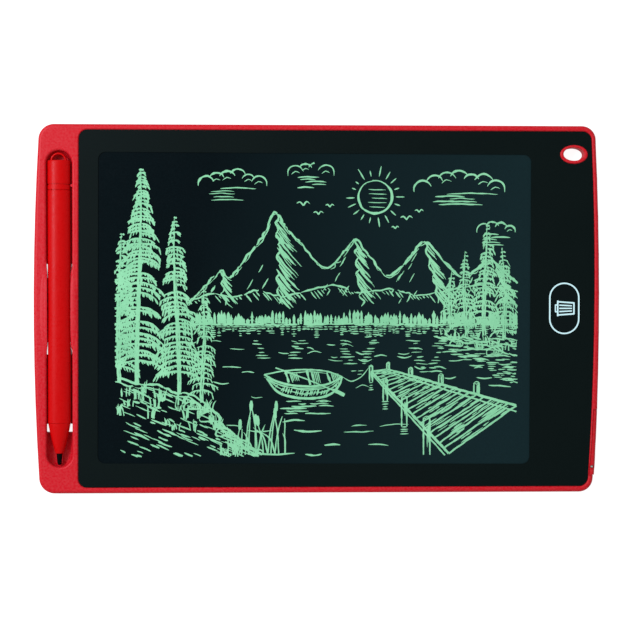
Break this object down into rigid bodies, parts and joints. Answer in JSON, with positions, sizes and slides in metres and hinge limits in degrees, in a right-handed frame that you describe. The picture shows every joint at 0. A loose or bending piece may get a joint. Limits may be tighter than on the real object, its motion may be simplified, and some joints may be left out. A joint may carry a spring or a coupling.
{
  "type": "lcd writing tablet",
  "caption": "Slim LCD writing tablet with a dark pressure-sensitive screen, an erase key, a stylus in a side trough, a lanyard eyelet and a coin-cell drawer.",
  "frame": {"origin": "middle of the back face, on the surface the tablet lies on", "axes": "+X to the writer's right, +Y up the page, +Z out of the writing face"},
  "size_m": [0.2247, 0.146, 0.0068],
  "materials": {
    "red_plastic": "fine satin texture",
    "black_panel": "fine matte grain",
    "screen_film": "semi-gloss film",
    "dark_film": "black coated film",
    "adhesive": "adhesive tape",
    "black_plastic": "satin moulded",
    "circuit_green": "solder mask",
    "ivory_plastic": "moulded",
    "copper_film": "polyimide film",
    "ceramic_chip": "sintered",
    "spring_steel": "stamped strip",
    "screw_steel": "plain steel",
    "cell_steel": "nickelled steel",
    "gasket": "moulded ring",
    "tip_black": "moulded"
  },
  "bodies": {
    "root": {"front_shell": "red_plastic", "rear_cover": "red_plastic", "bezel_sheet": "black_panel", "bezel_adhesive": "adhesive", "film_adhesive": "adhesive", "film_rear": "dark_film", "liquid_crystal_layer": "screen_film", "film_front": "screen_film", "circuit_board": "circuit_green", "board_screws": "screw_steel", "flex_tail": "copper_film", "flex_connector": "ivory_plastic", "driver_ic": "black_plastic", "inductor": "black_plastic", "capacitors": "ceramic_chip", "resistors": "ceramic_chip", "tact_switch_body": "black_plastic", "tact_dome": "spring_steel", "tact_terminals": "spring_steel", "positive_contact": "spring_steel", "negative_contact": "spring_steel", "lock_switch_body": "black_plastic"},
    "erase_button": {"erase_key": "black_panel", "tact_plunger": "ivory_plastic"},
    "stylus": {"stylus_barrel": "red_plastic", "stylus_tail_cap": "red_plastic", "stylus_nose": "red_plastic", "stylus_tip": "tip_black"},
    "tray": {"battery_tray": "red_plastic", "tray_screw": "screw_steel", "coin_cell_can": "cell_steel", "coin_cell_cap": "cell_steel", "coin_cell_gasket": "gasket", "coin_cell_electrodes": "gasket"},
    "lock_slider": {"lock_knob": "black_plastic"}
  },
  "joints": [
    {"name": "erase_key_press", "type": "slide", "parent": "root", "child": "erase_button", "axis": [0, 0, -1], "range_m": [0, 0.00035], "stiffness_N_per_m": 3000, "springref_m": -0.0001},
    {"name": "stylus_lift", "type": "slide", "parent": "root", "child": "stylus", "axis": [0, 0, 1], "range_m": [0, 0.03]},
    {"name": "tray_slide", "type": "slide", "parent": "root", "child": "tray", "axis": [1, 0, 0], "range_m": [0, 0.025]},
    {"name": "lock_slide", "type": "slide", "parent": "root", "child": "lock_slider", "axis": [1, 0, 0], "range_m": [0, 0.0026]}
  ]
}
